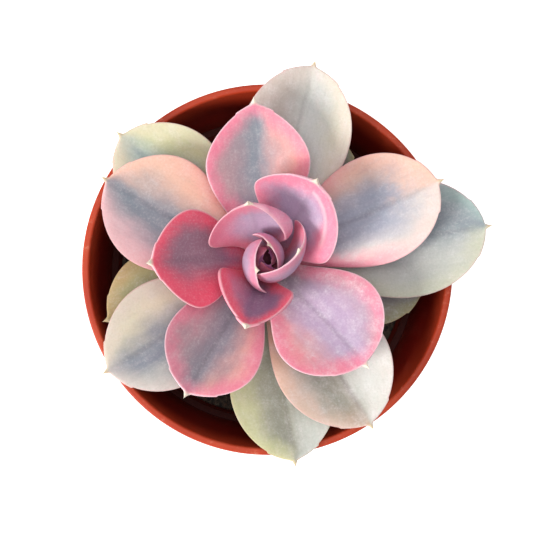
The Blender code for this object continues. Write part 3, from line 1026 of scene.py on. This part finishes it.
@dataclass
class PottingMix:
    """The root ball: a dark crumbly surface with grit, bark, perlite and dry rootlets lying on it."""

    foot: float = 2.8 * MM
    foot_radius: float = 34.5 * MM
    top: float = 57.5 * MM
    dish: float = 1.5 * MM
    edge_radius: float = 43.9 * MM
    stem_centre: tuple[float, float] = (-1.4 * MM, 2.3 * MM)
    stem_radius: float = 5.3 * MM
    pocket_depth: float = 12.3 * MM
    sides: int = 150
    rings: int = 60
    rootlet_count: int = 46
    rootlet_step: float = 0.9 * MM
    seed: int = 7

    def level(self, x: float, y: float) -> float:
        """Height of the crumbly surface at a place."""
        share = 1 - math.hypot(x, y) / self.edge_radius
        crown = self.top - self.dish / 2 + self.dish * smooth(share * 1.25)
        spot = Vector((x, y, 0.0))
        sizes = ((170, 0.55), (420, 0.45), (950, 0.25))
        lumps = sum(noise.noise(spot * scale) * part for scale, part in sizes)
        return crown + lumps * 0.9 * MM * smooth(share * 12)

    def build(self) -> None:
        """Makes the root ball and everything that lies on it."""
        bm = bmesh.new()
        line = [bm.verts.new((0, 0, self.foot)), bm.verts.new((self.foot_radius, 0, self.foot))]
        for index in range(self.rings):
            share = index / self.rings
            line.append(bm.verts.new((self.edge_radius * (1 - share), 0, self.top)))
        line.append(bm.verts.new((0, 0, self.top)))
        edges = [bm.edges.new(pair) for pair in zip(line, line[1:])]
        bmesh.ops.spin(
            bm, geom=line + edges, axis=(0, 0, 1), cent=(0, 0, 0), angle=math.tau, steps=self.sides,
            use_merge=True,
        )
        bmesh.ops.remove_doubles(bm, verts=bm.verts, dist=MERGE)
        for vert in bm.verts:
            if vert.co.z > self.top - 1 * MM:
                vert.co.z = self.level(vert.co.x, vert.co.y)
                gap = math.hypot(vert.co.x - self.stem_centre[0], vert.co.y - self.stem_centre[1])
                if gap < self.stem_radius:
                    vert.co.z -= self.pocket_depth * smooth((self.stem_radius - gap) / (1.2 * MM))
        make_piece("root_ball", bm, self.dress(), "potting_mix", ["soil"])
        rng = random.Random(self.seed)
        self.scatter("perlite", 150, (0.5, 1.3), 0.8, self.dress_perlite(), rng)
        self.scatter("grit", 420, (0.35, 1.1), 0.7, self.dress_grit(), rng)
        self.scatter("bark_chips", 240, (0.8, 2.4), 0.28, self.dress_bark(), rng)
        self.rootlets(rng)

    def spot(self, rng: random.Random, margin: float) -> Optional[tuple[float, float]]:
        """A random place on the surface, clear of the wall and of the stem.

        Args:
            rng: The source of chance.
            margin: How far the place keeps from both.

        Returns:
            The place, or None where it came too near the stem.
        """
        radius = (self.edge_radius - margin) * math.sqrt(rng.random())
        angle = rng.random() * math.tau
        x, y = radius * math.cos(angle), radius * math.sin(angle)
        if math.hypot(x - self.stem_centre[0], y - self.stem_centre[1]) < self.stem_radius + margin:
            return None
        return x, y

    def scatter(
        self,
        name: str,
        count: int,
        sizes: tuple[float, float],
        flatness: float,
        finish: bpy.types.Material,
        rng: random.Random,
    ) -> None:
        """Lays loose grains on the mix, as one piece.

        Args:
            name: The piece's name.
            count: How many grains.
            sizes: Smallest and largest grain, in mm across.
            flatness: Height of a grain as a share of its width.
            finish: Their material.
            rng: The source of chance.
        """
        bm = bmesh.new()
        for _ in range(count):
            size = (sizes[0] + (sizes[1] - sizes[0]) * rng.random() ** 2) * MM
            place = self.spot(rng, size)
            shape = (1.0, 0.55 + 0.45 * rng.random(), flatness * (0.7 + 0.6 * rng.random()))
            turn = Matrix.Rotation(rng.random() * ANY_TURN, 4, "Z")
            turn = turn @ Matrix.Rotation(rng.uniform(-0.5, 0.5), 4, "X")
            if place is None:
                continue
            made = bmesh.ops.create_icosphere(bm, subdivisions=1, radius=size / 2)["verts"]
            bmesh.ops.scale(bm, vec=shape, verts=made)
            for vert in made:
                vert.co *= 1 + rng.uniform(-0.22, 0.22)
            lift = self.level(*place) + size * shape[2] * 0.3
            bmesh.ops.transform(bm, matrix=Matrix.Translation((*place, lift)) @ turn, verts=made)
        make_piece(name, bm, finish, "potting_mix", sharp=38)

    def rootlets(self, rng: random.Random) -> None:
        """Lays fine dry rootlets on the mix, each a thin tube along a wandering line."""
        bm = bmesh.new()
        for _ in range(self.rootlet_count):
            start = self.spot(rng, 5 * MM)
            heading = rng.random() * ANY_TURN
            if start is None:
                continue
            x, y = start
            radius = rng.uniform(0.07, 0.15) * MM
            ring = bmesh.ops.create_circle(bm, cap_ends=True, segments=5, radius=radius)["verts"]
            face = next(f for f in bm.faces if set(f.verts) == set(ring))
            centre = Vector((x, y, self.level(x, y) + radius))
            along = Vector((math.cos(heading), math.sin(heading), 0))
            stand = Vector((0, 0, 1)).rotation_difference(along).to_matrix().to_4x4()
            bmesh.ops.transform(bm, matrix=Matrix.Translation(centre) @ stand, verts=ring)
            for _step in range(rng.randint(6, 12)):
                heading += rng.uniform(-0.55, 0.55)
                ahead = centre + Vector((math.cos(heading), math.sin(heading), 0)) * self.rootlet_step
                if math.hypot(ahead.x, ahead.y) > self.edge_radius - 1.5 * MM:
                    break
                ahead.z = self.level(ahead.x, ahead.y) + radius + rng.uniform(0.0, 0.5) * MM
                made = bmesh.ops.extrude_discrete_faces(bm, faces=[face])["faces"]
                face = made[0]
                bmesh.ops.translate(bm, vec=ahead - centre, verts=list(face.verts))
                centre = ahead
        make_piece("rootlets", bm, self.dress_rootlets(), "potting_mix")

    def dress(self) -> bpy.types.Material:
        """Dark damp crumb."""
        f = Finish("potting_mix_skin")
        place = f.place()
        crumb = f.cells(place, 900.0)
        tone = f.clouds(place, 320.0, 4.0, 0.7)
        f.tones(tone, 0.35, 0.7, paint(24, 18, 15), paint(62, 47, 38))
        f.lay(crumb.step(0.42, 0.62) * 0.35, paint(96, 78, 62))
        f.set(Base_Color=f.colour, Roughness=0.9 - tone * 0.15)
        f.relief(crumb * -1.0 + tone, 0.5 * MM)
        return f.material

    def dress_perlite(self) -> bpy.types.Material:
        """Chalky white grains with pores."""
        f = Finish("perlite_skin")
        place = f.place()
        pores = f.cells(place, 3200.0)
        tone = f.clouds(place, 700.0, 3.0)
        f.tones(tone, 0.35, 0.7, paint(168, 160, 148), paint(222, 218, 208))
        f.set(Base_Color=f.colour, Roughness=0.92)
        f.relief(pores, 0.15 * MM)
        return f.material

    def dress_grit(self) -> bpy.types.Material:
        """Brown and grey crumbs."""
        f = Finish("grit_skin")
        tone = f.clouds(f.place(), 260.0, 3.0, 0.7)
        f.tones(tone, 0.35, 0.65, paint(34, 26, 20), paint(104, 86, 68))
        f.set(Base_Color=f.colour, Roughness=0.85)
        f.relief(f.clouds(f.place(), 1800.0, 3.0), 0.12 * MM)
        return f.material

    def dress_bark(self) -> bpy.types.Material:
        """Fibrous bark chips."""
        f = Finish("bark_chip_skin")
        place = f.place()
        fibre = f.clouds(f.stretch(place, (1600, 420, 420)), 1.0, 4.0, 0.6)
        tone = f.clouds(place, 200.0, 2.0)
        f.tones(fibre, 0.35, 0.7, paint(36, 24, 17), paint(94, 64, 42))
        f.lay(tone.step(0.55, 0.75) * 0.5, paint(132, 102, 72))
        f.set(Base_Color=f.colour, Roughness=0.82)
        f.relief(fibre, 0.15 * MM)
        return f.material

    def dress_rootlets(self) -> bpy.types.Material:
        """Dry straw-coloured rootlets."""
        f = Finish("rootlet_skin")
        tone = f.clouds(f.place(), 500.0, 3.0)
        f.tones(tone, 0.3, 0.7, paint(112, 88, 60), paint(176, 150, 112))
        f.set(Base_Color=f.colour, Roughness=0.8)
        return f.material


# Studio ---------------------------------------------------


@dataclass
class Studio:
    """Pale floor, soft light, and a camera nearly straight above."""

    target: tuple[float, float, float] = (-0.76 * MM, 0.45 * MM, 85 * MM)
    distance: float = 280 * MM
    lean_x: float = -3.0
    lean_y: float = -2.5
    lens: float = 67.0

    def build(self) -> None:
        """Makes the floor, the lights and the camera."""
        self.build_floor()
        self.build_lights()
        self.build_camera()

    def build_floor(self) -> None:
        """Makes a wide pale floor."""
        bm = bmesh.new()
        bmesh.ops.create_grid(bm, x_segments=1, y_segments=1, size=1.6)
        mesh = bpy.data.meshes.new("floor")
        bm.to_mesh(mesh)
        bm.free()
        floor = bpy.data.objects.new("floor", mesh)
        bpy.context.scene.collection.objects.link(floor)
        f = Finish("floor_paint")
        f.set(Base_Color=paint(252, 252, 252), Roughness=0.9)
        f.set(Emission_Color=paint(255, 255, 255), Emission_Strength=0.6)
        mesh.materials.append(f.material)

    def lamp(self, name: str, place: Sequence[float], size: float, watts: float, colour: Colour) -> None:
        """Hangs one square soft lamp that faces the plant.

        Args:
            name: The lamp's name.
            place: Where it hangs, in metres.
            size: The side of its square.
            watts: Its power.
            colour: Its colour.
        """
        data = bpy.data.lights.new(name, "AREA")
        data.size = size
        data.energy = watts
        data.color = colour
        lamp = bpy.data.objects.new(name, data)
        lamp.location = place
        lamp.rotation_euler = (Vector(self.target) - Vector(place)).to_track_quat("-Z", "Y").to_euler()
        bpy.context.scene.collection.objects.link(lamp)

    def build_lights(self) -> None:
        """Lights the plant with a sky and two soft lamps."""
        world = bpy.data.worlds.new("sky")
        world.use_nodes = True
        sky = world.node_tree.nodes["Background"]
        sky.inputs["Color"].default_value = (0.96, 0.97, 1.0, 1.0)
        sky.inputs["Strength"].default_value = 0.42
        bpy.context.scene.world = world
        self.lamp("key", (-0.85, -0.5, 0.72), 0.45, 12.9, (1.0, 0.97, 0.93))
        self.lamp("top", (-0.1, 0.1, 1.2), 0.8, 5.5, (1.0, 0.99, 0.98))

    def build_camera(self) -> None:
        """Sets the camera above, leaning a little towards the left and the near side."""
        slopes = [math.tan(math.radians(lean)) for lean in (self.lean_x, self.lean_y)]
        back = Vector((*slopes, 1)).normalized()
        right = Vector((0, 1, 0)).cross(back).normalized()
        over = back.cross(right)
        data = bpy.data.cameras.new("camera")
        data.lens = self.lens
        data.sensor_width = 36.0
        data.clip_start = 0.01
        data.clip_end = 20.0
        camera = bpy.data.objects.new("camera", data)
        camera.matrix_world = Matrix.Translation(Vector(self.target) + back * self.distance) @ Matrix(
            (right, over, back)
        ).transposed().to_4x4()
        bpy.context.scene.collection.objects.link(camera)
        bpy.context.scene.camera = camera


def main() -> None:
    """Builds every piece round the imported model."""
    logging.basicConfig(level=logging.INFO, format="%(name)s %(message)s")
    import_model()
    bpy.context.scene.view_settings.view_transform = "Standard"
    NurseryPot().build()
    PottingMix().build()
    Rosette().build()
    Studio().build()


if __name__ == "__main__":
    main()
